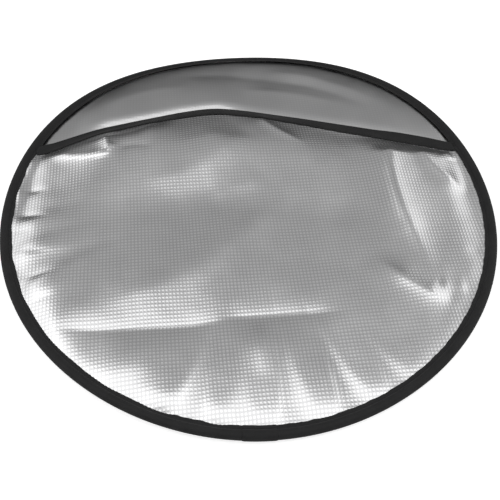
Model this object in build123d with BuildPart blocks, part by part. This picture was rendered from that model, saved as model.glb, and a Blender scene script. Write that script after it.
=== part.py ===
"""Pop-up reflector disc with a pocket: a steering-wheel sun shade, 450 mm across.

A closed spring-steel hoop runs in a folded black tape round the rim.  The tape also holds the edges of two
aluminised sheets: a full back panel, and a waffle-embossed front panel whose upper edge is free, is bound with
a tape of its own and stands arched, so that the two sheets form a pocket open towards +Y.

Frame: millimetres.  The disc lies on its back, +Z towards the front panel, +Y towards the pocket's mouth and +X
along the line between the mouth's corners.  The origin is the centre of the rim, on the plane that it rests on.

The hoop bends about the fold line, so every piece that crosses the line is a lower and an upper solid.  The
middle of the mouth lifts about a line behind it, so the lip, its tape and its seam are solids of their own.
"""

import os
from math import cos, degrees, radians, sin, sqrt

from build123d import *

# Driving dimensions
RIM_R = 225.0  # outside of the rim tape
TAPE_W = 11.0  # width of the rim tape, seen from the front
TAPE_T = 0.8  # thickness of one layer of tape
TUBE_W = 8.0  # the rolled part of the tape, which holds the hoop
TUBE_ROUND = 3.0  # its corner radius
SHEET_T = 0.8  # thickness of a panel
SHEET_GAP = 0.2  # between the panels' edges, inside the tape
BAND_W = 4.0  # spring-steel band, along Z
BAND_T = 0.8  # spring-steel band, along the radius
BUTT_GAP = 0.6  # between the two ends of the band, inside the ferrule
FERRULE_L = 30.0
FERRULE_WALL = 0.6
CRIMP_W, CRIMP_DEPTH = 1.6, 0.3
LAP_L = 26.0  # finished end of the rim tape, lapped over its start
LAP_T = 0.6

PILLOW_H = 8.0  # rise of the front panel in its middle
RIDGE_Y = 0.0  # from here the front panel climbs to the mouth
CLIMB = 0.18  # slope of that climb
CORNER_DEG = 18.1  # direction of each corner of the mouth, from the X axis
MOUTH_BOW = 42.0  # how far the mouth's edge bows forward of its corners, in plan
MOUTH_TAPE_W = 8.5
MOUTH_TAPE_T = 0.6
MOUTH_TAPE_END = 6.0  # the tape's ends stay this far inside the corners

THREAD_W = 0.6
THREAD_H = 0.3
SEAM_IN = 1.6  # seam line, in from the tape's edge
TACK_L, TACK_W, TACK_H = 9.0, 2.4, 0.6

FOLD_Y = -10.0  # fold line
FOLD_GAP = 0.6
LIP_HALF = 100.0  # half width of the part of the mouth that lifts
LIP_Y = 64.0  # its rear edge
LIP_ROOM = 2.5  # space behind it that its swing needs
LIP_SIDE = 1.0  # space beside it

# Worked out from them
SEAM_Z = TUBE_W / 2  # the panels meet at this height
TUBE_IN_R = RIM_R - TUBE_W
TUBE_MID_R = RIM_R - TUBE_W / 2
TAPE_IN_R = RIM_R - TAPE_W
SEAM_R = TAPE_IN_R + SEAM_IN
SHEET_R = TUBE_IN_R + 0.5  # the panels' edges end here, inside the tape
FRONT_Z = SEAM_Z
BACK_Z = SEAM_Z - SHEET_GAP - SHEET_T
SLOT_HIGH = FRONT_Z + SHEET_T
LEAF_TOP = SLOT_HIGH + TAPE_T
LEAF_LOW = BACK_Z - TAPE_T
DOME_R = TAPE_IN_R - 0.1
FLANGE_R = DOME_R - 1.5
CROWN_Z = FRONT_Z + PILLOW_H
BAND_LOW = SEAM_Z - BAND_W / 2
BAND_HIGH = SEAM_Z + BAND_W / 2
BAND_IN_R = TUBE_MID_R - BAND_T / 2
BAND_OUT_R = TUBE_MID_R + BAND_T / 2
CORNER_X = SHEET_R * cos(radians(CORNER_DEG))
CORNER_Y = SHEET_R * sin(radians(CORNER_DEG))
MOUTH_Y = CORNER_Y + MOUTH_BOW
TALL = 120.0  # more than the height of anything
WIDE = 600.0  # more than the width of anything


def save(part, name):
    """Labels a finished piece and writes its file."""
    part.label = name
    export_step(part, f"parts/{name}.step")


def block_between(low_y, high_y):
    """A block that holds everything between two values of Y."""
    with BuildPart() as block:
        with Locations((0, (low_y + high_y) / 2, 0)):
            Box(2 * WIDE, high_y - low_y, 2 * TALL)
    return block.part


def wedge(middle_deg, length, radius):
    """A block over a short stretch of the rim, whose length is measured along a given radius."""
    turn = degrees(length / radius) / 2
    first = (WIDE * cos(radians(middle_deg - turn)), WIDE * sin(radians(middle_deg - turn)))
    last = (WIDE * cos(radians(middle_deg + turn)), WIDE * sin(radians(middle_deg + turn)))
    with BuildPart() as block:
        with BuildSketch(Plane.XY.offset(-TALL)):
            with BuildLine():
                Polyline((0, 0), first, last, (0, 0))
            make_face()
        extrude(amount=2 * TALL)
    return block.part


def ring(low_r, high_r, low_z, high_z, corner=0.0):
    """A ring of rectangular section, with rounded corners if asked."""
    with BuildPart() as body:
        with BuildSketch(Plane.XZ):
            with Locations(((low_r + high_r) / 2, (low_z + high_z) / 2)):
                if corner:
                    RectangleRounded(high_r - low_r, high_z - low_z, corner)
                else:
                    Rectangle(high_r - low_r, high_z - low_z)
        revolve(axis=Axis.Z)
    return body.part


def crown(y):
    """Height of the front panel's underside on the centre line."""
    return CROWN_Z + max(0.0, y - RIDGE_Y) * CLIMB


def arch(low, high):
    """The climbing part of the front panel, from low to high above its underside, before it is trimmed."""
    stations = (FOLD_Y - 8.0, RIDGE_Y, RIDGE_Y + 40.0, MOUTH_Y + 16.0)
    with BuildPart() as body:
        for y in stations:
            reach = sqrt(DOME_R**2 - y**2)
            with BuildSketch(Plane.XZ.offset(-y)):
                with BuildLine():
                    under = ThreePointArc((-reach, FRONT_Z + low), (0, crown(y) + low), (reach, FRONT_Z + low))
                    over = ThreePointArc((-reach, FRONT_Z + high), (0, crown(y) + high), (reach, FRONT_Z + high))
                    Line(under @ 0, over @ 0)
                    Line(under @ 1, over @ 1)
                make_face()
        loft()
    return body.part


def mouth_curve(shift):
    """Ends and middle of the mouth's edge in plan, shifted along Y."""
    return (-CORNER_X, CORNER_Y + shift), (0, MOUTH_Y + shift), (CORNER_X, CORNER_Y + shift)


def mouth_strip(rear, front, left, right):
    """A tall block that follows the mouth's edge in plan, from rear to front of it, between two values of X."""
    with BuildPart() as block:
        with BuildSketch():
            with BuildLine():
                back = ThreePointArc(*mouth_curve(rear))
                edge = ThreePointArc(*mouth_curve(front))
                Line(back @ 0, edge @ 0)
                Line(back @ 1, edge @ 1)
            make_face()
            with Locations(((left + right) / 2, 0)):
                Rectangle(right - left, WIDE, mode=Mode.INTERSECT)
        extrude(amount=TALL)
    return block.part


def behind_mouth(radius):
    """A tall round block of the given radius, cut off at the mouth's edge."""
    first, middle, last = mouth_curve(0)
    with BuildPart() as block:
        with BuildSketch():
            with BuildLine():
                ThreePointArc(first, middle, last)
                Polyline(last, (WIDE, last[1]), (WIDE, -WIDE), (-WIDE, -WIDE), (-WIDE, first[1]), first)
            make_face()
            Circle(radius, mode=Mode.INTERSECT)
        extrude(amount=TALL)
    return block.part


def make_hoop(halves):
    """Spring-steel band: one open strip, whose ends meet inside a crimped ferrule at the bottom of the rim."""
    whole = ring(BAND_IN_R, BAND_OUT_R, BAND_LOW, BAND_HIGH)
    for side, block in halves.items():
        with BuildPart() as band:
            add(whole)
            add(block, mode=Mode.INTERSECT)
            if side == "lower":
                with Locations((0, -TUBE_MID_R, SEAM_Z)):
                    Box(BUTT_GAP, 4 * BAND_T, 2 * BAND_W, mode=Mode.SUBTRACT)
        save(band.part, f"hoop_{side}")

    sleeve = ring(
        BAND_IN_R - FERRULE_WALL,
        BAND_OUT_R + FERRULE_WALL,
        BAND_LOW - FERRULE_WALL,
        BAND_HIGH + FERRULE_WALL,
        corner=0.4,
    )
    stretch = wedge(-90, FERRULE_L, TUBE_MID_R)
    with BuildPart() as ferrule:
        add(sleeve)
        add(stretch, mode=Mode.INTERSECT)
        with Locations((-FERRULE_L / 4, -TUBE_MID_R, 0), (FERRULE_L / 4, -TUBE_MID_R, 0)):
            with Locations((0, -BAND_T / 2 - FERRULE_WALL, SEAM_Z)):
                Box(CRIMP_W, 2 * CRIMP_DEPTH, BAND_W / 2, mode=Mode.SUBTRACT)
        add(whole, mode=Mode.SUBTRACT)
    save(ferrule.part, "hoop_ferrule")


def make_rim_tape(halves):
    """Rim tape, rolled round the hoop and closed on the panels' edges, and the lapped end of it."""
    roll = ring(TUBE_IN_R, RIM_R, 0, TUBE_W, corner=TUBE_ROUND)
    leaves = ring(TAPE_IN_R, TUBE_IN_R + 1.5, LEAF_LOW, LEAF_TOP)
    hollow = ring(TUBE_IN_R + TAPE_T, RIM_R - TAPE_T, TAPE_T, TUBE_W - TAPE_T, corner=TUBE_ROUND - TAPE_T)
    slot = ring(TAPE_IN_R - 1, TUBE_IN_R + 2, BACK_Z, SLOT_HIGH)
    for side, block in halves.items():
        with BuildPart() as tape:
            add(roll)
            add(leaves)
            add(hollow, mode=Mode.SUBTRACT)
            add(slot, mode=Mode.SUBTRACT)
            add(block, mode=Mode.INTERSECT)
        save(tape.part, f"rim_tape_{side}")

    flat = ring(TAPE_IN_R + 0.3, TUBE_IN_R, LEAF_TOP, LEAF_TOP + LAP_T)
    rise = ring(TUBE_IN_R - LAP_T, RIM_R - TUBE_ROUND, LEAF_TOP, TUBE_W + LAP_T, corner=0.5)
    stretch = wedge(-90, LAP_L, TUBE_MID_R)
    with BuildPart() as lap:
        add(flat)
        add(rise)
        add(roll, mode=Mode.SUBTRACT)
        add(stretch, mode=Mode.INTERSECT)
    save(lap.part, "rim_tape_lap")


def make_rim_threads(halves):
    """Seam of the rim: the needle thread on the front leaf of the tape, and the bobbin thread on the back."""
    low_r, high_r = SEAM_R - THREAD_W / 2, SEAM_R + THREAD_W / 2
    rows = {
        "needle": ring(low_r, high_r, LEAF_TOP, LEAF_TOP + THREAD_H),
        "bobbin": ring(low_r, high_r, LEAF_LOW - THREAD_H, LEAF_LOW),
    }
    under_lap = wedge(-90, LAP_L + 1, TUBE_MID_R)
    for row, whole in rows.items():
        for side, block in halves.items():
            with BuildPart() as thread:
                add(whole)
                add(block, mode=Mode.INTERSECT)
                if row == "needle" and side == "lower":
                    add(under_lap, mode=Mode.SUBTRACT)
                if row == "needle" and side == "upper":
                    for angle in (CORNER_DEG, 180 - CORNER_DEG):
                        with PolarLocations(SEAM_R, 1, start_angle=angle):
                            with Locations((0, 0, LEAF_TOP + TACK_H / 2)):
                                Box(TACK_W, TACK_L + 1, TACK_H, mode=Mode.SUBTRACT)
            save(thread.part, f"rim_{row}_thread_{side}")


def make_tacks():
    """Bar tacks that hold the corners of the mouth on the rim tape."""
    for name, angle in (("left", 180 - CORNER_DEG), ("right", CORNER_DEG)):
        with BuildPart() as tack:
            with PolarLocations(SEAM_R, 1, start_angle=angle):
                with Locations((0, 0, LEAF_TOP + TACK_H / 2)):
                    Box(TACK_W, TACK_L, TACK_H)
            fillet(tack.edges().filter_by(Axis.Z), 0.5)
        save(tack.part, f"corner_tack_{name}")


def make_back_panel(halves):
    """Flat round back sheet, held in the rim tape all the way round."""
    for side, block in halves.items():
        with BuildPart() as panel:
            with BuildSketch(Plane.XY.offset(BACK_Z)):
                Circle(SHEET_R)
            extrude(amount=SHEET_T)
            add(block, mode=Mode.INTERSECT)
        save(panel.part, f"back_panel_{side}")


def make_front_panel(halves, climb):
    """Front sheet: a shallow dome below the ridge, climbing above it to the arched mouth and its lip."""
    rim_flange = ring(FLANGE_R, SHEET_R, FRONT_Z, SLOT_HIGH)
    halfway = CROWN_Z - PILLOW_H / 4
    with BuildPart() as dome:
        with BuildSketch(Plane.XZ):
            with BuildLine():
                under = ThreePointArc((0, CROWN_Z), (DOME_R / 2, halfway), (DOME_R, FRONT_Z))
                over = ThreePointArc((0, CROWN_Z + SHEET_T), (DOME_R / 2, halfway + SHEET_T), (DOME_R, SLOT_HIGH))
                Line(under @ 0, over @ 0)
                Line(under @ 1, over @ 1)
            make_face()
        revolve(axis=Axis.Z)
        add(rim_flange)
        add(halves["lower"], mode=Mode.INTERSECT)
    save(dome.part, "front_panel_lower")

    trim = behind_mouth(SHEET_R)
    with BuildPart() as upper:
        add(climb)
        add(rim_flange)
        add(trim, mode=Mode.INTERSECT)
        add(halves["upper"], mode=Mode.INTERSECT)
        with Locations((0, LIP_Y - LIP_ROOM + WIDE / 2, 0)):
            Box(2 * (LIP_HALF + LIP_SIDE), WIDE, 2 * TALL, mode=Mode.SUBTRACT)
    save(upper.part, "front_panel_upper")

    with BuildPart() as lip:
        add(climb)
        with Locations((0, LIP_Y + WIDE / 2, 0)):
            Box(2 * LIP_HALF, WIDE, 2 * TALL, mode=Mode.INTERSECT)
    save(lip.part, "front_panel_lip")


def make_mouth_tape(climb):
    """Tape folded over the mouth's edge, in three lengths, each with the two threads of its seam."""
    outer = LIP_HALF + LIP_SIDE
    lengths = {
        "left": (-CORNER_X + MOUTH_TAPE_END, -outer),
        "middle": (-LIP_HALF, LIP_HALF),
        "right": (outer, CORNER_X - MOUTH_TAPE_END),
    }
    tape_top = SHEET_T + MOUTH_TAPE_T
    wrap = arch(-MOUTH_TAPE_T, tape_top)
    rows = {"needle": arch(tape_top, tape_top + THREAD_H), "bobbin": arch(-MOUTH_TAPE_T - THREAD_H, -MOUTH_TAPE_T)}
    seam_y = SEAM_IN - MOUTH_TAPE_W
    for name, (left, right) in lengths.items():
        band = mouth_strip(-MOUTH_TAPE_W, MOUTH_TAPE_T, left, right)
        with BuildPart() as tape:
            add(wrap)
            add(band, mode=Mode.INTERSECT)
            add(climb, mode=Mode.SUBTRACT)
        save(tape.part, f"mouth_tape_{name}")

        line = mouth_strip(seam_y - THREAD_W / 2, seam_y + THREAD_W / 2, left + 0.5, right - 0.5)
        for row, skin in rows.items():
            with BuildPart() as thread:
                add(skin)
                add(line, mode=Mode.INTERSECT)
            save(thread.part, f"mouth_{row}_thread_{name}")


def make_all():
    """Every piece of the disc."""
    halves = {
        "lower": block_between(-WIDE, FOLD_Y - FOLD_GAP / 2),
        "upper": block_between(FOLD_Y + FOLD_GAP / 2, WIDE),
    }
    whole_climb = arch(0, SHEET_T)
    trim = behind_mouth(DOME_R)
    with BuildPart() as climb:
        add(whole_climb)
        add(trim, mode=Mode.INTERSECT)
        add(halves["upper"], mode=Mode.INTERSECT)

    make_hoop(halves)
    make_rim_tape(halves)
    make_rim_threads(halves)
    make_tacks()
    make_back_panel(halves)
    make_front_panel(halves, climb.part)
    make_mouth_tape(climb.part)


os.makedirs("parts", exist_ok=True)
make_all()
print("mouth corner", round(CORNER_X, 1), round(CORNER_Y, 1), "apex", round(MOUTH_Y, 1), round(crown(MOUTH_Y), 1))
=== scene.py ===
"""Looks of the pop-up reflector disc: film panels, bound rim and mouth, seams, floor, light and camera."""

import math

import bpy
import numpy as np
from mathutils import Matrix, Vector


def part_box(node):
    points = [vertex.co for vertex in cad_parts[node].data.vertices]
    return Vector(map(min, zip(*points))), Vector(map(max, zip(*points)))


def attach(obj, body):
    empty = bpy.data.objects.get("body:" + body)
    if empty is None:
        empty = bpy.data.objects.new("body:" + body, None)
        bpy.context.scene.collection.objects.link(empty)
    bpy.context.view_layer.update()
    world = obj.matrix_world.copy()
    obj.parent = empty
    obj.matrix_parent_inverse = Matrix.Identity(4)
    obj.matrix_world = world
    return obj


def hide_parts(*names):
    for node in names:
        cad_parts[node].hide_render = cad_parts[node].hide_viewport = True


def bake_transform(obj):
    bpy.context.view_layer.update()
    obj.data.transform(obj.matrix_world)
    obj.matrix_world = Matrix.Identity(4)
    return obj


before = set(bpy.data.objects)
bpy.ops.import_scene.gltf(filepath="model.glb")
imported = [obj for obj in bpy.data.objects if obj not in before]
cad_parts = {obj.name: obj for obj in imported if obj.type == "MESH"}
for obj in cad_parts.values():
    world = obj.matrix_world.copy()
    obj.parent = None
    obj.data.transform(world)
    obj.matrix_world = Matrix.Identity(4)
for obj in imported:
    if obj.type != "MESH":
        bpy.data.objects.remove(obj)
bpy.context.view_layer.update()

# ---------------------------------------------------------------- sizes, in millimetres
MM = 0.001
RIM_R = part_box("rim_tape_upper")[1].x / MM  # outside of the rim tape
SEAM_Z = sum(corner.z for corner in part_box("hoop_lower")) / 2 / MM  # middle of the hoop
CORNER_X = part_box("front_panel_upper")[1].x / MM * math.cos(math.radians(18.1)) - 1.5
LIP_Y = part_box("front_panel_lip")[0].y / MM  # the lip bends from here to the mouth's edge

ROLL_R = 4.0  # the rolled part of the rim tape
TAPE_W = 10.9
TAPE_T = 0.5
LEAF_UP, LEAF_DOWN = 1.5, 1.7  # faces of the tape's two leaves, from the hoop's middle
HOOP_R = RIM_R - ROLL_R  # circle that the hoop and the middle of the roll lie on
PANEL_R = RIM_R - 7.6  # edges of the panels, under the tape
SEAM_IN = 5.4  # the rim's seam, inward from the hoop's circle
STITCH = 3.2

# waffle of the embossed film; its pitch and direction come from a fit to the photo, rounded
CELL_U, CELL_V = 3.01, 3.22
CELL_TURN = math.radians(4.4)
PIT = 0.15

# the relaxed hoop isn't flat: it rests on its lowest points (rounded results of a fit to the photo's outline)
WARP = ((2, 4.0, 1.9), (3, -0.3, 2.3), (4, -1.8, -1.0))  # order, cosine and sine part
WARP_TURN = math.radians(3.25)
LIFT = 8.7

# mouth of the pocket: share of its full rise along X, between its corners. The shares come from a scratch
# script's output: points of the photo's edge, carried to the disc through the fitted camera.
MOUTH_X = (-204, -147, -108, -88, -68, -47, -31, -16, 4, 55, 115, 153, 204)
MOUTH_SHARE = (0.0, 0.475, 0.69, 0.79, 0.89, 0.97, 1.0, 0.975, 0.915, 0.715, 0.443, 0.252, 0.0)
MOUTH_Y0, MOUTH_Y1 = 70.5, 112.5  # in plan, at the corners and at the top
MOUTH_Z1 = 17.5
MOUTH_POWER = 1.6  # over 1, so that the mouth lies low near its corners
HEIGHT_AS_REACH = 1.07  # from the camera, a mm less of height is made up by so much more reach
SHELF, SHELF_W = 6.5, 56.0  # the film is highest behind the edge, and droops to it
SHELF_GROWS = 1.1  # how soon along the edge the droop is full
CLIMB_W = 84  # the climb from the low panel to the shelf
# how the last of the panel and its tape meet the edge, along X: rise for each mm out, and over what reach
LIP_X = (-204, -175, -150, -115, -90, -60, -31, 20, 80, 130, 160, 185, 204)
LIP_TILT = (0.3, 0.35, 0.25, 0.15, 0.1, 0.05, 0.0, 0.0, 0.1, 0.35, 0.6, 0.6, 0.3)
LIP_REACH = (11, 13, 14, 16, 18, 20, 24, 24, 20, 16, 14, 12, 11)
# near the corners the film swells up behind its tape, which lies in the hollow: how high, along X
SWELL_X = (-208, -192, -150, -122, -98, -70, 98, 150, 188, 202)
SWELL = (0.0, 6.0, 8.0, 9.5, 8.0, 0.0, 0.0, 7.0, 6.0, 0.0)
SWELL_FROM, SWELL_TO = 16, 95  # how far behind the edge it starts and dies away
RIM_EASE = 14  # over this distance from the rim the panel's height is taken up
LAYERS = 0.9  # the back panel's base below the hoop's middle, and the least gap between the panels
FRONT_UP = 0.6  # the front panel's base above the hoop's middle
CONTACT = 0.7  # how softly the front panel is held off the back one

rng = np.random.default_rng(7)


# ---------------------------------------------------------------- shape
def smooth(t):
    """A smooth step from 0 to 1."""
    t = np.clip(t, 0, 1)
    return t * t * (3 - 2 * t)


def eased(x, knots, values, spread=9.0):
    """Values between knots, with the corners rounded off."""
    steps = np.linspace(-1.5, 1.5, 7)
    weights = np.exp(-steps**2)
    total = sum(w * np.interp(x + s * spread, knots, values) for s, w in zip(steps, weights))
    return total / weights.sum()


def warp(x, y):
    """Height of the relaxed hoop's twist, carried smoothly over the disc."""
    r, a = np.hypot(x, y) / RIM_R, np.arctan2(y, x) + WARP_TURN
    return LIFT + sum(r**n * (c * np.cos(n * a) + s * np.sin(n * a)) for n, c, s in WARP)


def place(points):
    """Points from the flat disc's own coordinates (z from the hoop's middle) to metres in the row frame."""
    points = np.array(points, float)
    points[:, 2] += SEAM_Z + warp(points[:, 0], points[:, 1])
    return points * MM


def mouth_share(x):
    return np.maximum(eased(x, MOUTH_X, MOUTH_SHARE), 0)


def mouth_y(x):
    share = mouth_share(x)
    return MOUTH_Y0 + (MOUTH_Y1 - MOUTH_Y0) * share + HEIGHT_AS_REACH * (MOUTH_Z1 * share - mouth_z(x))


def mouth_z(x):
    """It rises late: near its corners the mouth lies low, and reaches further out instead."""
    return MOUTH_Z1 * mouth_share(x) ** MOUTH_POWER


def lip_tilt(x):
    return eased(x, LIP_X, LIP_TILT, 14.0)


def lip_reach(x):
    return eased(x, LIP_X, LIP_REACH, 14.0)


def ramp(t, ease=0.3):
    """From 0 to 1 on a straight slope, eased at both ends."""
    t = np.clip(t, 0, 1)
    low, high = t * t / (2 * ease), 1 - ease - (1 - t) ** 2 / (2 * ease)
    return np.where(t < ease, low, np.where(t > 1 - ease, high, t - ease / 2)) / (1 - ease)


def fold(x, y, path, height, left, right, sharp=3.0, ends=(0.25, 0.25)):
    """A fold of the film along a bent line through three points: a ridge, or a valley if height is negative.
    left and right are how far its two sides reach, sharp how rounded its edge is, and ends the share of its
    length over which it dies away."""
    start, middle, end = (np.array(p, float) for p in path)
    control = 2 * middle - (start + end) / 2
    pieces = 20
    t = np.linspace(0, 1, pieces + 1)[:, None]
    line = (1 - t) ** 2 * start + 2 * t * (1 - t) * control + t * t * end
    reach = 4 * max(left, right) + 5
    near = (x > line[:, 0].min() - reach) & (x < line[:, 0].max() + reach)
    near &= (y > line[:, 1].min() - reach) & (y < line[:, 1].max() + reach)
    px, py = x[near], y[near]
    best = np.full(px.shape, 1e9)
    side, along = np.zeros(px.shape), np.zeros(px.shape)
    for i in range(pieces):
        a, step = line[i], line[i + 1] - line[i]
        size = float(step @ step)
        s = np.clip(((px - a[0]) * step[0] + (py - a[1]) * step[1]) / size, 0, 1)
        gap = np.hypot(px - a[0] - s * step[0], py - a[1] - s * step[1])
        closer = gap < best
        turn = (py - a[1]) * step[0] - (px - a[0]) * step[1]
        best = np.where(closer, gap, best)
        side = np.where(closer, np.sign(turn), side)
        along = np.where(closer, (i + s) / pieces, along)
    width = np.where(side > 0, left, right)
    shape = np.exp(-(np.sqrt(best**2 + sharp**2) - sharp) / width)
    window = np.sin(np.pi / 2 * np.clip(along / max(ends[0], 1e-3), 0, 1)) ** 2
    window *= np.sin(np.pi / 2 * np.clip((1 - along) / max(ends[1], 1e-3), 0, 1)) ** 2
    out = np.zeros_like(x)
    out[near] = height * shape * window
    return out


def ripple(x, y, waves, low, high, height, seed):
    """Fine unevenness of the film: many small waves between two wavelengths."""
    r = np.random.default_rng(seed)
    total = np.zeros_like(x)
    for _ in range(waves):
        length, turn, phase = r.uniform(low, high), r.uniform(0, math.pi), r.uniform(0, 2 * math.pi)
        total += np.sin((x * math.cos(turn) + y * math.sin(turn)) * 2 * math.pi / length + phase)
    return height * total / math.sqrt(waves)


# where the panel is gathered at the rim: direction and half width in degrees, and how far in it reaches
GATHERS = (
    (162, 3.0, 6), (172, 3.0, 10), (182, 3.5, 16), (191, 3.5, 16), (201, 4.0, 24),
    (213, 6.0, 12), (229, 9.0, 12), (243, 4.0, 8), (256, 2.6, 26), (266, 2.0, 10),
    (277.5, 2.6, 30), (290, 2.4, 28), (301, 2.2, 12), (330, 4.0, 8), (345, 3.0, 6),
)
PUFF, PUFF_LEFT, PUFF_NEAR = 3.4, 3.3, 0.7  # the swell beside the rim, and how it leans
PUFF_MORE, PUFF_AT, PUFF_HALF = 3.5, 222, 26  # more of it round one direction, in degrees
PUFF_REACH, PUFF_POWER = 7.0, 1.25  # how far in from the rim it grows, and how suddenly
PUFF_MIDDLE = 3  # a low dome over the whole panel


def puff(x, y):
    """The panel swells away from the rim, most towards the near left, and furthest where it is gathered."""
    r, a = np.hypot(x, y), np.degrees(np.arctan2(y, x)) % 360
    full = PUFF - (PUFF_LEFT * x + PUFF_NEAR * y) / PANEL_R
    full = full + PUFF_MORE * (r / PANEL_R) ** 2 * np.exp(-(((a - PUFF_AT) / PUFF_HALF) ** 2))
    reach = PUFF_REACH + sum(far * np.exp(-(((a - at) / half) ** 2)) for at, half, far in GATHERS)
    grown = 1 - np.exp(-((np.maximum(PANEL_R - r, 0) / reach) ** PUFF_POWER))
    return full * grown + PUFF_MIDDLE * (1 - (r / PANEL_R) ** 2)


def front_height(x, y):
    """The front panel, from the hoop's middle, on the flat disc."""
    r = np.hypot(x, y)
    behind = np.maximum(mouth_y(x) - y, 0)
    tilt, reach = lip_tilt(x), lip_reach(x)
    drop = SHELF * smooth(mouth_share(x) * SHELF_GROWS)
    shelf = mouth_z(x) + drop
    low = puff(x, y)
    climb = 1 - ramp((behind - 0.75 * SHELF_W) / CLIMB_W)
    z = low + (shelf - low) * climb * smooth((PANEL_R - r) / RIM_EASE)
    z = z - tilt * behind * np.exp(-((behind / reach) ** 2)) * smooth((CORNER_X + 4 - np.abs(x)) / 16)
    z = z - drop * np.maximum(1 - behind / SHELF_W, 0) ** 2
    swell = eased(x, SWELL_X, SWELL, 8.0) * smooth((PANEL_R - r) / RIM_EASE)
    z = z + swell * (1 - np.exp(-((behind / SWELL_FROM) ** 2))) * np.exp(-((behind / SWELL_TO) ** 2))
    folds = sum(fold(x, y, *shape) for shape in FOLDS)
    folds += ripple(x, y, 24, 60, 140, 0.25, 3) + ripple(x, y, 40, 14, 34, 0.03, 4)
    edge = (1 - np.exp(-(((PANEL_R - r) / 12) ** 2))) * (1 - np.exp(-(((behind + 1) / 9) ** 2)))
    under = back_height(x, y) + LAYERS
    return under + CONTACT * np.logaddexp(0, (FRONT_UP + z + folds * edge - under) / CONTACT)


# folds of the front panel: path, height, reach to the left and right of it, rounding, ends. Where the main
# ones lie was read off the photo, carried to the disc by a scratch script, and then changed by hand.
FOLDS = (
    # the long crease across the near half, and the swell that runs from it up to the middle
    (((-176, -131), (-90, -134), (-8, -124)), -5.2, 26, 26, 0.8, (0.3, 0.3)),
    (((-34, -126), (20, -122), (82, -119)), -3.0, 13, 18, 0.8, (0.25, 0.3)),
    (((-130, -106), (-40, -70), (45, 30)), 3.8, 24, 16, 10.0, (0.25, 0.35)),
    # soft swell below the mouth
    (((-105, 14), (-45, 36), (2, 76)), 3.2, 18, 15, 8.0, (0.3, 0.3)),
    (((-40, 2), (-12, 12), (16, 26)), 1.2, 12, 10, 6.0, (0.3, 0.3)),
    (((10, 108), (26, 84), (60, 60)), 1.8, 6, 6, 2.0, (0.3, 0.3)),
    # folds that run down from the right corner
    (((138, 66), (137, -6), (160, -90)), 6.4, 16, 9, 3.5, (0.12, 0.45)),
    (((168, 62), (178, 34), (206, 8)), 3.2, 12, 6, 2.5, (0.2, 0.3)),
    (((192, 60), (197, 54), (200, 46)), 1.6, 5, 4, 1.5, (0.3, 0.3)),
    (((104, -62), (130, -90), (166, -112)), 4.6, 13, 11, 2.5, (0.5, 0.25)),
    (((156, -94), (170, -97), (184, -98)), 1.0, 6, 6, 2.0, (0.3, 0.3)),
    # crumpled left corner
    (((-192, 58), (-155, 49), (-118, 50)), 3.0, 16, 4, 1.2, (0.3, 0.3)),
    (((-139, 77), (-134, 62), (-128, 48)), 3.4, 5, 5, 1.2, (0.3, 0.3)),
    (((-136, 80), (-118, 85), (-92, 90)), -2.4, 5, 14, 2.0, (0.4, 0.4)),
    (((-128, 55), (-108, 58), (-88, 54)), -1.2, 4, 6, 1.2, (0.3, 0.3)),
    # upright ridge below the long crease
    (((0, -124), (3, -150), (2, -180)), 2.0, 8, 8, 3.0, (0.5, 0.5)),
    # pleats drawn in by the rim
    (((-214, 18), (-200, 16), (-182, 14)), -1.6, 4, 4, 0.8, (0.05, 0.6)),
    (((-216, -12), (-200, -14), (-172, -20)), -1.8, 4, 5, 0.8, (0.05, 0.6)),
    (((-214, -34), (-204, -32), (-190, -30)), -1.0, 3, 3, 0.8, (0.05, 0.6)),
    (((-212, -52), (-196, -54), (-166, -58)), -1.8, 6, 4, 0.8, (0.05, 0.6)),
    (((-204, -82), (-186, -80), (-156, -74)), -1.6, 5, 5, 0.8, (0.05, 0.6)),
    (((-190, -108), (-176, -104), (-160, -100)), -1.2, 4, 4, 0.8, (0.05, 0.6)),
    (((208, -62), (198, -60), (186, -58)), -0.7, 5, 5, 1.5, (0.05, 0.6)),
    (((196, -128), (184, -124), (160, -116)), -2.0, 5, 6, 0.8, (0.05, 0.5)),
)

# the back panel's crest behind the mouth, along X: its height and how steeply it is reached
CREST_X = (-204, -172, -140, -60, -25, 0, 60, 150, 180, 204)
CREST = (0, 1.0, 6.5, 7.5, 7.5, 5.0, 4.5, 5.0, 3.0, 0)
CREST_W = (14, 12, 7, 7, 7, 9, 11, 11, 12, 14)


def back_height(x, y):
    """The back panel, from the hoop's middle, on the flat disc. Behind the mouth it stands in a low crest."""
    rise, width = eased(x, CREST_X, CREST, 6.0), eased(x, CREST_X, CREST_W, 6.0)
    sight = 1.15  # from the camera, a mm of the mouth's height hides so much of the back panel behind it
    line = mouth_y(x) + sight * (mouth_z(x) - 0.45 * rise) + 8
    rim = np.sqrt(np.maximum(PANEL_R**2 - x * x, 0))
    to_rim = np.clip((y - line) / np.maximum(rim - line, 1), 0, 1)
    crest = np.where(y < line, np.exp(-(((y - line) / width) ** 2)), np.cos(np.pi / 2 * to_rim))
    r = np.hypot(x, y)
    sag = -2.4 * (1 - np.exp(-np.maximum(PANEL_R - r, 0) / 18)) * smooth((85 - y) / 50)
    inner = smooth((PANEL_R - r) / 20)
    streaks = sum(fold(x, y, *shape) for shape in STREAKS)
    drawn = np.tan(-rim_tilt(np.arctan2(y, x))) * (RIM_R - ROLL_R - r)
    drawn = 4.5 * np.tanh(drawn / 4.5) * np.exp(-(((PANEL_R - r) / 60) ** 2))
    return -LAYERS + rise * crest + sag + drawn + (streaks + ripple(x, y, 20, 40, 110, 0.35, 5)) * inner


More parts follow.
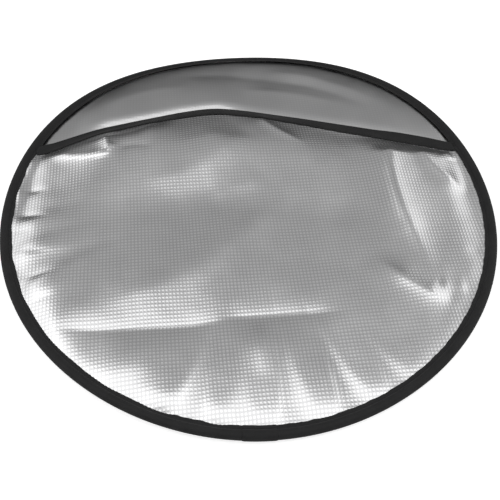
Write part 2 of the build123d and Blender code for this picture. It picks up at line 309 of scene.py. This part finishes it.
# shallow drag lines in the back panel, where it shows
STREAKS = (
    (((-90, 176), (0, 182), (90, 150)), -0.8, 7, 7, 3.0, (0.3, 0.3)),
    (((20, 190), (80, 172), (150, 120)), 0.9, 6, 6, 2.0, (0.3, 0.3)),
    (((30, 174), (84, 156), (132, 118)), -0.9, 5, 5, 2.0, (0.3, 0.3)),
    (((-10, 160), (50, 150), (110, 126)), 0.7, 5, 5, 2.0, (0.3, 0.3)),
    (((-150, 120), (-110, 150), (-50, 162)), 0.6, 7, 7, 3.0, (0.3, 0.3)),
)


# ---------------------------------------------------------------- meshes
def new_mesh(name, points, faces, uv=None):
    """A mesh object from points in metres, with an optional value of UV for each point."""
    mesh = bpy.data.meshes.new(name)
    mesh.from_pydata([tuple(p) for p in points], [], [tuple(f) for f in faces])
    mesh.validate()
    if uv is not None:
        layer = mesh.uv_layers.new(name="cells")
        loops = np.zeros(len(mesh.loops), np.int32)
        mesh.loops.foreach_get("vertex_index", loops)
        layer.data.foreach_set("uv", np.asarray(uv, np.float32)[loops].ravel())
    mesh.polygons.foreach_set("use_smooth", [True] * len(mesh.polygons))
    obj = bpy.data.objects.new(name, mesh)
    bpy.context.scene.collection.objects.link(obj)
    return obj


def cell_grid(step_u, step_v, inside, clamp, reach=236.0):
    """A grid along the film's cells. inside(x, y) is negative outside the cut, and clamp moves such points
    to it."""
    nu, nv = int(reach / step_u), int(reach / step_v)
    iu, iv = np.meshgrid(np.arange(-nu, nu + 1), np.arange(-nv, nv + 1), indexing="ij")
    c, s = math.cos(CELL_TURN), math.sin(CELL_TURN)
    x, y = iu * step_u * c - iv * step_v * s, iu * step_u * s + iv * step_v * c
    within = inside(x, y) >= 0
    keep = within[:-1, :-1] | within[1:, :-1] | within[1:, 1:] | within[:-1, 1:]
    index = np.arange(iu.size).reshape(iu.shape)
    faces = np.stack([index[:-1, :-1], index[1:, :-1], index[1:, 1:], index[:-1, 1:]], -1)[keep]
    used, faces = np.unique(faces, return_inverse=True)
    x, y = clamp(x.ravel()[used], y.ravel()[used])
    return x, y, iu.ravel()[used], iv.ravel()[used], faces.reshape(-1, 4)


def to_disc(x, y, radius):
    """Points outside a circle are moved in to it."""
    pull = np.minimum(1, radius / np.maximum(np.hypot(x, y), 1e-6))
    return x * pull, y * pull


def make_front():
    """The waffle film, in two pieces that meet behind the mouth: the panel, and the lip that lifts."""

    def inside(x, y):
        return np.minimum(PANEL_R - np.hypot(x, y), mouth_y(x) - 0.4 - y)

    def clamp(x, y):
        x, y = to_disc(x, y, PANEL_R)
        return x, np.minimum(y, mouth_y(x) - 0.4)

    x, y, iu, iv, faces = cell_grid(CELL_U / 2, CELL_V / 2, inside, clamp)
    middle, corner = (iu % 2 == 1) & (iv % 2 == 1), (iu % 2 == 0) & (iv % 2 == 0)
    pit = np.where(middle, -PIT, np.where(corner, 0.15 * PIT, 0.0))
    calm = 0.3 + 0.7 * smooth((mouth_y(x) - y - 8) / 50)  # the waffle is pulled flatter towards the mouth
    z = front_height(x, y) + pit * calm * smooth((PANEL_R - np.hypot(x, y)) / 8)
    points = place(np.stack([x, y, z], -1))
    uv = np.stack([iu / 2, iv / 2], -1)
    lip = y[faces].mean(1) > LIP_Y
    made = []
    for name, chosen in (("film_front", ~lip), ("film_lip", lip)):
        used, part = np.unique(faces[chosen], return_inverse=True)
        made.append(new_mesh(name, points[used], part.reshape(-1, 4), uv[used]))
    return made


def make_back():
    """The full back panel of the same film, its waffle pressed nearly flat."""

    def inside(x, y):
        return PANEL_R - np.hypot(x, y)

    def clamp(x, y):
        return to_disc(x, y, PANEL_R)

    x, y, iu, iv, faces = cell_grid(CELL_U, CELL_V, inside, clamp)
    points = place(np.stack([x, y, back_height(x, y)], -1))
    return new_mesh("film_back", points, faces, np.stack([iu, iv], -1))


def sweep(name, sections, closed):
    """A tube through a list of sections of equal length, each an array of points in flat coordinates."""
    rows, count = len(sections), len(sections[0])
    points = place(np.concatenate(sections))
    faces = []
    for i in range(rows if closed else rows - 1):
        for j in range(count):
            a, b = i * count, (i + 1) % rows * count
            k = (j + 1) % count
            faces.append((a + j, b + j, b + k, a + k))
    if not closed:
        faces.append(tuple(range(count)))
        faces.append(tuple((rows - 1) * count + j for j in reversed(range(count))))
    step_along, step_round = 3.0, 0.6
    u = np.repeat(np.arange(rows), count) * step_along
    v = np.tile(np.arange(count), rows) * step_round
    return new_mesh(name, points, faces, np.stack([u, v], -1))


def rim_outline(grow=0.0, edge=0.0):
    """Outside of the rim tape's section as (distance from the hoop's circle, height), from the front leaf's
    inner edge over the roll to the back leaf's; grow is added all over, and edge to the leaves' width."""
    inner, meet = -(TAPE_W - ROLL_R) - edge, -3.9  # where a leaf ends, and where it meets the roll
    out = []
    for t in np.linspace(0, 1, 6):
        out.append((inner + t * (meet - inner), LEAF_UP + grow + 0.25 * math.sin(t * math.pi)))
    for a in np.linspace(math.radians(158), math.radians(-156), 22):
        out.append(((ROLL_R + grow) * math.cos(a), (ROLL_R + grow) * math.sin(a)))
    for t in np.linspace(0, 1, 6):
        out.append((meet + t * (inner - meet), -LEAF_DOWN - grow - 0.15 * math.sin(t * math.pi)))
    return np.array(out)


def rim_tilt(a):
    """How far the tape leans at each direction: it is drawn up with the back panel at the far side."""
    top = np.exp(-((np.angle(np.exp(1j * (a - math.radians(93)))) / 0.8) ** 2))
    return -0.45 * top


def rim_section(a, outline, inset=None):
    """One section of the rim tape at direction a: the outline, and back along the inside of the tape."""
    path = outline
    if inset is not None:
        path = np.concatenate([outline, inset[::-1]])
    t = rim_tilt(a)
    d = path[:, 0] * math.cos(t) - path[:, 1] * math.sin(t)
    z = path[:, 0] * math.sin(t) + path[:, 1] * math.cos(t)
    r = HOOP_R + d
    return np.stack([r * math.cos(a), r * math.sin(a), z], -1)


def make_rim():
    """The rim tape, hollow round the hoop, drawn in a little at every stitch."""
    outline = rim_outline()
    inset = rim_outline(grow=-TAPE_T, edge=-0.05)
    count = 1320
    sections = []
    for i in range(count):
        a = 2 * math.pi * i / count
        pull = 0.14 * math.cos(2 * math.pi * a * (RIM_R - 9) / STITCH)
        pull = pull * np.exp(-((outline[:, 0] + SEAM_IN) / 1.1) ** 2)
        edge = 0.18 * math.sin(a * 61) + 0.14 * math.sin(a * 143 + 1)
        path = outline.copy()
        path[:, 1] += np.sign(path[:, 1]) * pull
        path[:, 0] += edge * np.exp(-((outline[:, 0] + 6.9) / 0.8) ** 2)
        sections.append(rim_section(a, path, inset))
    return sweep("rim_tape", sections, closed=True)


def make_lap():
    """The finished end of the rim tape, lapped over its start at the bottom of the disc."""
    outline = rim_outline(grow=0.45, edge=0.1)
    inset = rim_outline(grow=0.05)
    turn = 13.0 / HOOP_R
    sections = []
    for t in np.linspace(-1, 1, 30):
        pinch = 1 - 0.5 * smooth((abs(t) - 0.86) / 0.14)
        path = inset + (outline - inset) * pinch
        sections.append(rim_section(-math.pi / 2 + t * turn, path, inset))
    return sweep("rim_lap", sections, closed=False)


def bevelled(half, tall, cut, cut_up):
    """A rectangle's outline with its corners cut off: half its width and height, and the two cuts."""
    low = [(-half, cut_up - tall), (cut - half, -tall), (half - cut, -tall), (half, cut_up - tall)]
    return np.array(low + [(x, -z) for x, z in reversed(low)])


def make_band():
    """The spring-steel band of the hoop, open where its ends meet."""
    path = bevelled(0.4, 2.0, 0.15, 0.1)
    gap = 0.3 / HOOP_R
    angles = np.linspace(-math.pi / 2 + gap, 1.5 * math.pi - gap, 480)
    return sweep("hoop_band", [rim_section(a, path) for a in angles], closed=False)


def make_sleeve():
    """The crimped sleeve over the band's two ends."""
    sections = []
    for t in np.linspace(-1, 1, 61):
        crimp = 0.25 * math.exp(-((abs(t) - 0.5) / 0.05) ** 2)
        path = bevelled(1.0 - crimp, 2.6, 0.3, 0.3)
        sections.append(rim_section(-math.pi / 2 + t * 15 / HOOP_R, path))
    return sweep("hoop_sleeve", sections, closed=False)


def mouth_surface(x, inward, out):
    """Points on the mouth's tape, all at once: over x along the edge, so far inward from it, and so far out
    of the film. Gives the points, the direction along the edge, and out of the film's face."""
    x, inward, out = np.broadcast_arrays(np.asarray(x, float), inward, out)
    h = 0.5
    slope = (mouth_y(x + h) - mouth_y(x - h)) / (2 * h)
    size = np.hypot(slope, 1)

    def film(u, shift=0.0):
        at_x = x + shift + slope / size * u
        at_y = mouth_y(x) + slope * shift - u / size
        return np.stack([at_x, at_y, front_height(at_x, at_y)], -1)

    edge = film(np.zeros_like(x))
    steep = (film(np.full_like(x, 9.0))[..., 2] - edge[..., 2]) / 9
    u = np.maximum(inward / np.hypot(1, steep), 0)
    point = film(u)
    ahead, beside = film(u + h) - point, film(u, h) - film(u, -h)
    ahead /= np.linalg.norm(ahead, axis=-1, keepdims=True)
    beside /= np.linalg.norm(beside, axis=-1, keepdims=True)
    normal = np.cross(beside, -ahead)
    normal /= np.linalg.norm(normal, axis=-1, keepdims=True)
    point = point + np.minimum(inward, 0)[..., None] * ahead + out[..., None] * normal
    return point, beside, normal


def make_mouth_tape():
    """Tape folded over the mouth's edge, from corner to corner."""
    width, half, thick = TAPE_W - 0.9, 0.35, 0.55
    leaf = [
        (width * (1 - t), half + thick * (0.55 + 0.45 * math.sin(t * math.pi) ** 0.5))
        for t in np.linspace(0, 1, 7)
    ]
    edge = [(-0.9 * math.sin(a), 0.95 * math.cos(a)) for a in np.linspace(0.35, math.pi - 0.35, 6)]
    path = [(width, half), *leaf, *edge, *((u, -v) for u, v in reversed(leaf)), (width, -half)]
    gap, middle = half - 0.05, 5.0
    path += [(width - 0.05, -gap), (middle, -gap), (0.4, 0.0), (middle, gap), (width - 0.05, gap)]
    inward, out = np.array(path).T
    along = np.linspace(-CORNER_X, CORNER_X, 420)[:, None]
    return sweep("mouth_tape", list(mouth_surface(along, inward, out)[0]), closed=False)


def capsules(name, places, length, width, height):
    """Small rounded stitches, each at (point, direction, face) in flat coordinates."""
    rings, around = 5, 6
    points, faces = [], []
    for p, t, out in places:
        side = np.cross(out, t)
        base = len(points)
        for i in range(rings):
            s = -1 + 2 * i / (rings - 1)
            swell = math.sqrt(max(1 - s * s, 0)) * 0.8 + 0.2
            for j in range(around):
                a = 2 * math.pi * j / around
                wide, tall = width / 2 * swell * math.cos(a), height / 2 * swell * math.sin(a)
                points.append(p + t * (s * length / 2) + side * wide + out * tall)
        for i in range(rings - 1):
            a, b = base + i * around, base + (i + 1) * around
            for j in range(around):
                k = (j + 1) % around
                faces.append((a + j, a + k, b + k, b + j))
        faces.append(tuple(base + j for j in reversed(range(around))))
        faces.append(tuple(base + (rings - 1) * around + j for j in range(around)))
    return new_mesh(name, place(np.array(points)), faces)


def rim_stitches(name, side):
    """One row of the rim's seam: side is 1 on the front and -1 on the back."""
    seam = np.array([(-SEAM_IN, LEAF_UP + 0.22 if side > 0 else -LEAF_DOWN - 0.12)])
    count = round(2 * math.pi * (HOOP_R - SEAM_IN) / STITCH)
    places = []
    for i in range(count):
        a = 2 * math.pi * (i + 0.5) / count
        p = rim_section(a, seam)[0]
        t = np.array([-math.sin(a), math.cos(a), 0.0]) + rng.normal(0, 0.02, 3)
        places.append((p, t / np.linalg.norm(t), np.array([0, 0, float(side)])))
    return capsules(name, places, STITCH * 0.8, 0.55, 0.4)


def mouth_stitches(name, side):
    """One row of the mouth tape's seam."""
    along = np.arange(-CORNER_X + 8, CORNER_X - 8, STITCH * 0.97)
    points, beside, normal = mouth_surface(along, TAPE_W - 2.6, side * 0.85)
    return capsules(name, list(zip(points, beside, normal * side)), STITCH * 0.8, 0.5, 0.4)


def tack(name, side):
    """Bar tack at a corner of the mouth: a dense zigzag of thread across the two tapes."""
    a = math.atan2(mouth_y(CORNER_X * side), CORNER_X)
    a = a if side > 0 else math.pi - a
    radial, along = np.array([math.cos(a), math.sin(a), 0]), np.array([-math.sin(a), math.cos(a), 0])
    places = []
    for i in range(15):
        s = -4.2 + 0.6 * i
        lean = along * (0.12 if i % 2 else -0.12)
        p = radial * (RIM_R - 9.3) + along * s + np.array([0, 0, LEAF_UP + 0.45])
        d = radial + lean
        places.append((p, d / np.linalg.norm(d), np.array([0, 0, 1.0])))
    return capsules(name, places, 2.8, 0.62, 0.5)


# ---------------------------------------------------------------- materials
def material(name):
    made = bpy.data.materials.new(name)
    made.use_nodes = True
    return made, made.node_tree.nodes, made.node_tree.links


def math_node(nodes, links, kind, a, b=None):
    node = nodes.new("ShaderNodeMath")
    node.operation = kind
    for socket, value in zip(node.inputs, (a, b)):
        if value is None:
            continue
        if isinstance(value, (int, float)):
            socket.default_value = value
        else:
            links.new(value, socket)
    return node.outputs[0]


def cell_pits(nodes, links, uv):
    """1 in the middle of each cell and 0 on the lattice between the cells."""
    split = nodes.new("ShaderNodeSeparateXYZ")
    links.new(uv, split.inputs[0])
    waves = []
    for axis in ("X", "Y"):
        turned = math_node(nodes, links, "MULTIPLY", split.outputs[axis], math.pi)
        wave = math_node(nodes, links, "ABSOLUTE", math_node(nodes, links, "SINE", turned))
        waves.append(math_node(nodes, links, "POWER", wave, 1.4))
    return math_node(nodes, links, "MULTIPLY", *waves)


def film_material(name, tone, rough, emboss, waffle_shade):
    """Aluminised film: a satin metal with the waffle, fine scuffs, slightly uneven lustre, and painted shade
    of the waffle along the lattice between its cells.
    """
    made, nodes, links = material(name)
    shader = nodes["Principled BSDF"]
    shader.inputs["Metallic"].default_value = 1.0
    shader.inputs["IOR"].default_value = 1.5
    uv = nodes.new("ShaderNodeUVMap")
    uv.uv_map = "cells"
    pits = cell_pits(nodes, links, uv.outputs[0])

    cloud = nodes.new("ShaderNodeTexNoise")
    cloud.inputs["Scale"].default_value = 0.06
    cloud.inputs["Detail"].default_value = 5.0
    links.new(uv.outputs[0], cloud.inputs["Vector"])
    fine = nodes.new("ShaderNodeTexNoise")
    fine.inputs["Scale"].default_value = 1.7
    fine.inputs["Detail"].default_value = 3.0
    links.new(uv.outputs[0], fine.inputs["Vector"])

    shade = nodes.new("ShaderNodeValToRGB")
    shade.color_ramp.elements[0].position = 0.3
    shade.color_ramp.elements[0].color = (tone * 0.93, tone * 0.93, tone * 0.935, 1)
    shade.color_ramp.elements[1].position = 0.7
    shade.color_ramp.elements[1].color = (tone, tone, tone * 1.003, 1)
    links.new(cloud.outputs["Fac"], shade.inputs["Fac"])
    # painted shade: the colour is darkened towards grey along the lattice between the waffle's cells, for
    # light lost among them
    darker = nodes.new("ShaderNodeMix")
    darker.data_type = "RGBA"
    darker.blend_type = "MULTIPLY"
    lattice = nodes.new("ShaderNodeMapRange")
    lattice.inputs["From Min"].default_value = 0.1
    lattice.inputs["From Max"].default_value = 0.55
    lattice.inputs["To Min"].default_value = waffle_shade
    lattice.inputs["To Max"].default_value = 0.0
    links.new(pits, lattice.inputs["Value"])
    links.new(lattice.outputs["Result"], darker.inputs["Factor"])
    links.new(shade.outputs["Color"], darker.inputs["A"])
    darker.inputs["B"].default_value = (0.45, 0.45, 0.46, 1)
    links.new(darker.outputs["Result"], shader.inputs["Base Color"])

    lustre = nodes.new("ShaderNodeMapRange")
    lustre.inputs["From Min"].default_value = 0.3
    lustre.inputs["From Max"].default_value = 0.7
    lustre.inputs["To Min"].default_value = rough - 0.04
    lustre.inputs["To Max"].default_value = rough + 0.05
    links.new(cloud.outputs["Fac"], lustre.inputs["Value"])
    links.new(lustre.outputs["Result"], shader.inputs["Roughness"])

    height = math_node(nodes, links, "MULTIPLY", pits, -emboss)
    scuffs = math_node(nodes, links, "MULTIPLY", fine.outputs["Fac"], 0.12)
    height = math_node(nodes, links, "ADD", height, scuffs)
    bump = nodes.new("ShaderNodeBump")
    bump.inputs["Strength"].default_value = 1.0
    bump.inputs["Distance"].default_value = 0.0002
    links.new(height, bump.inputs["Height"])
    links.new(bump.outputs["Normal"], shader.inputs["Normal"])
    return made


def tape_material(name, tone):
    """Woven black tape: a fine basket weave, matte, a little worn and dusty in patches all over."""
    made, nodes, links = material(name)
    shader = nodes["Principled BSDF"]
    shader.inputs["Sheen Weight"].default_value = 0.08
    shader.inputs["Sheen Roughness"].default_value = 0.5
    shader.inputs["Specular IOR Level"].default_value = 0.3
    where = nodes.new("ShaderNodeTexCoord")
    weave = nodes.new("ShaderNodeTexWave")
    weave.inputs["Scale"].default_value = 260.0
    weave.inputs["Distortion"].default_value = 0.6
    links.new(where.outputs["Object"], weave.inputs["Vector"])
    cross = nodes.new("ShaderNodeTexWave")
    cross.bands_direction = "Y"
    cross.inputs["Scale"].default_value = 260.0
    cross.inputs["Distortion"].default_value = 0.6
    links.new(where.outputs["Object"], cross.inputs["Vector"])
    dust = nodes.new("ShaderNodeTexNoise")
    dust.inputs["Scale"].default_value = 90.0
    dust.inputs["Detail"].default_value = 6.0
    links.new(where.outputs["Object"], dust.inputs["Vector"])
    shade = nodes.new("ShaderNodeValToRGB")
    shade.color_ramp.elements[0].position = 0.35
    shade.color_ramp.elements[0].color = (tone * 0.75, tone * 0.75, tone * 0.78, 1)
    shade.color_ramp.elements[1].position = 0.75
    shade.color_ramp.elements[1].color = (tone * 1.35, tone * 1.35, tone * 1.38, 1)
    links.new(dust.outputs["Fac"], shade.inputs["Fac"])
    links.new(shade.outputs["Color"], shader.inputs["Base Color"])
    rough = nodes.new("ShaderNodeMapRange")
    rough.inputs["To Min"].default_value = 0.62
    rough.inputs["To Max"].default_value = 0.85
    links.new(dust.outputs["Fac"], rough.inputs["Value"])
    links.new(rough.outputs["Result"], shader.inputs["Roughness"])
    woven = math_node(nodes, links, "MAXIMUM", weave.outputs["Fac"], cross.outputs["Fac"])
    bump = nodes.new("ShaderNodeBump")
    bump.inputs["Strength"].default_value = 0.6
    bump.inputs["Distance"].default_value = 0.00012
    links.new(woven, bump.inputs["Height"])
    links.new(bump.outputs["Normal"], shader.inputs["Normal"])
    return made


def steel_material(name, tone, rough):
    """Drawn steel: long fine streaks in its lustre."""
    made, nodes, links = material(name)
    shader = nodes["Principled BSDF"]
    shader.inputs["Metallic"].default_value = 1.0
    where = nodes.new("ShaderNodeTexCoord")
    streak = nodes.new("ShaderNodeTexNoise")
    streak.inputs["Scale"].default_value = 700.0
    streak.inputs["Detail"].default_value = 4.0
    links.new(where.outputs["Object"], streak.inputs["Vector"])
    shade = nodes.new("ShaderNodeValToRGB")
    shade.color_ramp.elements[0].color = (tone * 0.8, tone * 0.8, tone * 0.82, 1)
    shade.color_ramp.elements[1].color = (tone * 1.1, tone * 1.1, tone * 1.11, 1)
    links.new(streak.outputs["Fac"], shade.inputs["Fac"])
    links.new(shade.outputs["Color"], shader.inputs["Base Color"])
    spread = nodes.new("ShaderNodeMapRange")
    spread.inputs["To Min"].default_value = rough - 0.08
    spread.inputs["To Max"].default_value = rough + 0.08
    links.new(streak.outputs["Fac"], spread.inputs["Value"])
    links.new(spread.outputs["Result"], shader.inputs["Roughness"])
    return made


def dress(obj, made):
    obj.data.materials.clear()
    obj.data.materials.append(made)


# ---------------------------------------------------------------- the object
def build():
    """Every visible piece, in its material; the lap, the sleeve and the tacks ride with their bodies."""
    front_film = film_material("embossed_film", 0.9, 0.27, 0.45, 0.42)
    back_film = film_material("satin_film", 0.68, 0.31, 0.25, 0.08)
    tape = tape_material("black_tape", 0.012)
    thread = tape_material("black_thread", 0.01)
    steel = steel_material("spring_steel", 0.4, 0.3)
    zinc = steel_material("crimped_ferrule", 0.6, 0.35)

    panel, lip = make_front()
    back = make_back()
    rim, lap = make_rim(), make_lap()
    band, sleeve = make_band(), make_sleeve()
    mouth = make_mouth_tape()
    rim_front, rim_back = rim_stitches("rim_stitch_front", 1), rim_stitches("rim_stitch_back", -1)
    mouth_front, mouth_back = mouth_stitches("mouth_stitch_front", 1), mouth_stitches("mouth_stitch_back", -1)
    left, right = tack("tack_left", -1), tack("tack_right", 1)

    halves = ("lower", "upper")
    thirds = ("left", "middle", "right")
    looks = (
        (panel, front_film, "embossed_film", ["front_panel_lower", "front_panel_upper"]),
        (lip, front_film, "embossed_film", ["front_panel_lip"]),
        (back, back_film, "satin_film", [f"back_panel_{s}" for s in halves]),
        (rim, tape, "black_tape", [f"rim_tape_{s}" for s in halves]),
        (lap, tape, "black_tape", ["rim_tape_lap"]),
        (band, steel, "spring_steel", [f"hoop_{s}" for s in halves]),
        (sleeve, zinc, "crimped_ferrule", ["hoop_ferrule"]),
        (mouth, tape, "black_tape", [f"mouth_tape_{s}" for s in thirds]),
        (rim_front, thread, "black_thread", [f"rim_needle_thread_{s}" for s in halves]),
        (rim_back, thread, "black_thread", [f"rim_bobbin_thread_{s}" for s in halves]),
        (mouth_front, thread, "black_thread", [f"mouth_needle_thread_{s}" for s in thirds]),
        (mouth_back, thread, "black_thread", [f"mouth_bobbin_thread_{s}" for s in thirds]),
        (left, thread, "black_thread", ["corner_tack_left"]),
        (right, thread, "black_thread", ["corner_tack_right"]),
    )
    for obj, made, slot, nodes in looks:
        dress(obj, made)
        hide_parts(*nodes)
    for obj in (panel, back, rim, band, rim_front, rim_back):
        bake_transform(obj)
    for obj in (lip, mouth, mouth_front, mouth_back):
        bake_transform(obj)
    for obj in (lap, sleeve):
        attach(obj, "lower_half")
    for obj in (left, right):
        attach(obj, "upper_half")


# ---------------------------------------------------------------- floor, light and camera
SOFTBOX_X, SOFTBOX_NEAR, SOFTBOX_FAR, SOFTBOX_Z = 1.5, -0.7, 0.0, 0.72  # metres
SOFTBOX_LEFT = 0.08  # how far it stands to the left of the disc's middle
SOFTBOX_TURN = math.radians(10)  # its left end is turned away from the camera


def make_stage():
    """The pale floor, and a plain white backdrop round and above it."""
    mesh = bpy.data.meshes.new("floor")
    half = 6.0
    corners = [(-half, -half, 0), (half, -half, 0), (half, half, 0), (-half, half, 0)]
    mesh.from_pydata(corners, [], [(0, 1, 2, 3)])
    floor = bpy.data.objects.new("floor", mesh)
    floor.location.z = -0.0002
    bpy.context.scene.collection.objects.link(floor)
    made, nodes, links = material("pale_floor")
    shader = nodes["Principled BSDF"]
    shader.inputs["Base Color"].default_value = (0.9, 0.9, 0.9, 1)
    shader.inputs["Roughness"].default_value = 0.9
    shader.inputs["Emission Color"].default_value = (1, 1, 1, 1)
    shader.inputs["Emission Strength"].default_value = 0.6
    dress(floor, made)
    floor.visible_glossy = False  # the film's hollows show the dark foot of the studio, not the floor

    # the backdrop: only the camera sees it, so that the studio still lights and shows in the film
    around, rings = 48, 12
    points = [
        (half * math.cos(a) * math.cos(e), half * math.sin(a) * math.cos(e), half * math.sin(e) - 0.5)
        for e in np.linspace(0, math.radians(88), rings)
        for a in np.linspace(0, 2 * math.pi, around, endpoint=False)
    ]
    faces = []
    for i in range(rings - 1):
        for j in range(around):
            a, b, k = i * around, (i + 1) * around, (j + 1) % around
            faces.append((a + j, a + k, b + k, b + j))
    faces.append(tuple((rings - 1) * around + j for j in range(around)))
    backdrop = new_mesh("backdrop", points, faces)
    backdrop.visible_glossy = backdrop.visible_diffuse = backdrop.visible_shadow = False
    backdrop.visible_transmission = backdrop.visible_volume_scatter = False
    made, nodes, links = material("pale_backdrop")
    shader = nodes["Principled BSDF"]
    shader.inputs["Base Color"].default_value = (0, 0, 0, 1)
    shader.inputs["Emission Color"].default_value = (1, 1, 1, 1)
    shader.inputs["Emission Strength"].default_value = 1.0
    dress(backdrop, made)


def make_light():
    """A soft studio: an even far wall that darkens low down, pale sides, and a wide softbox overhead."""
    world = bpy.data.worlds.new("studio")
    bpy.context.scene.world = world
    world.use_nodes = True
    nodes, links = world.node_tree.nodes, world.node_tree.links
    where = nodes.new("ShaderNodeTexCoord")
    split = nodes.new("ShaderNodeSeparateXYZ")
    links.new(where.outputs["Generated"], split.inputs[0])
    high = nodes.new("ShaderNodeMapRange")
    high.inputs["From Min"].default_value = -1.0
    links.new(split.outputs["Z"], high.inputs["Value"])
    wall = nodes.new("ShaderNodeValToRGB")
    tones = (
        (-1.0, 0.04), (0.0, 0.04), (0.14, 0.06), (0.26, 0.1), (0.42, 0.19),
        (0.55, 0.3), (0.65, 0.35), (0.85, 0.38), (0.93, 0.41), (1.0, 0.48),
    )
    elements = wall.color_ramp.elements
    elements[0].position, elements[0].color = 0.0, (tones[0][1],) * 3 + (1,)
    elements[1].position, elements[1].color = 1.0, (tones[-1][1],) * 3 + (1,)
    for at, tone in tones[1:-1]:
        made = elements.new((at + 1) / 2)
        made.color = (tone, tone, tone, 1)
    links.new(high.outputs["Result"], wall.inputs["Fac"])
    sides = nodes.new("ShaderNodeMapRange")
    sides.interpolation_type = "SMOOTHSTEP"
    sides.inputs["From Min"].default_value = 0.44
    sides.inputs["From Max"].default_value = 0.66
    sides.inputs["To Max"].default_value = 0.95
    links.new(math_node(nodes, links, "ABSOLUTE", split.outputs["X"]), sides.inputs["Value"])
    above = nodes.new("ShaderNodeMapRange")
    above.interpolation_type = "SMOOTHSTEP"
    above.inputs["From Min"].default_value = 0.1
    above.inputs["From Max"].default_value = 0.4
    links.new(split.outputs["Z"], above.inputs["Value"])
    glow = math_node(nodes, links, "MULTIPLY", sides.outputs["Result"], above.outputs["Result"])
    total = nodes.new("ShaderNodeMix")
    total.data_type = "RGBA"
    total.blend_type = "ADD"
    total.inputs["Factor"].default_value = 1.0
    links.new(wall.outputs["Color"], total.inputs["A"])
    links.new(glow, total.inputs["B"])
    links.new(total.outputs["Result"], nodes["Background"].inputs["Color"])
    nodes["Background"].inputs["Strength"].default_value = 1.0

    softbox = bpy.data.lights.new("softbox", "AREA")
    softbox.shape = "RECTANGLE"
    softbox.size, softbox.size_y = SOFTBOX_X, SOFTBOX_FAR - SOFTBOX_NEAR
    softbox.energy = 0.85 * math.pi * softbox.size * softbox.size_y
    lamp = bpy.data.objects.new("softbox", softbox)
    lamp.location = (-SOFTBOX_LEFT, (SOFTBOX_FAR + SOFTBOX_NEAR) / 2, SOFTBOX_Z)
    lamp.rotation_euler.z = -SOFTBOX_TURN
    bpy.context.scene.collection.objects.link(lamp)


def make_camera():
    """At the photograph's angle, above the disc's near side. Its place, lens and roll come from a fit."""
    eye = Vector((-0.0220, -0.4117, 0.4772 + (SEAM_Z + LIFT) * MM))
    aim = Vector((-0.00155, -0.0529, (SEAM_Z + LIFT) * MM))
    ahead = (aim - eye).normalized()
    turn = -WARP_TURN
    level = Vector((math.cos(turn), math.sin(turn), 0))
    up = level.cross(ahead)
    roll = math.radians(1.636)
    right = level * math.cos(roll) + up * math.sin(roll)
    up = up * math.cos(roll) - level * math.sin(roll)
    data = bpy.data.cameras.new("camera")
    data.sensor_width = 36.0
    data.lens = 48.84
    camera = bpy.data.objects.new("camera", data)
    camera.matrix_world = Matrix((
        (right.x, up.x, -ahead.x, eye.x),
        (right.y, up.y, -ahead.y, eye.y),
        (right.z, up.z, -ahead.z, eye.z),
        (0, 0, 0, 1),
    ))
    bpy.context.scene.collection.objects.link(camera)
    bpy.context.scene.camera = camera


build()
make_stage()
make_light()
make_camera()
bpy.context.scene.view_settings.view_transform = "Standard"
bpy.context.view_layer.update()
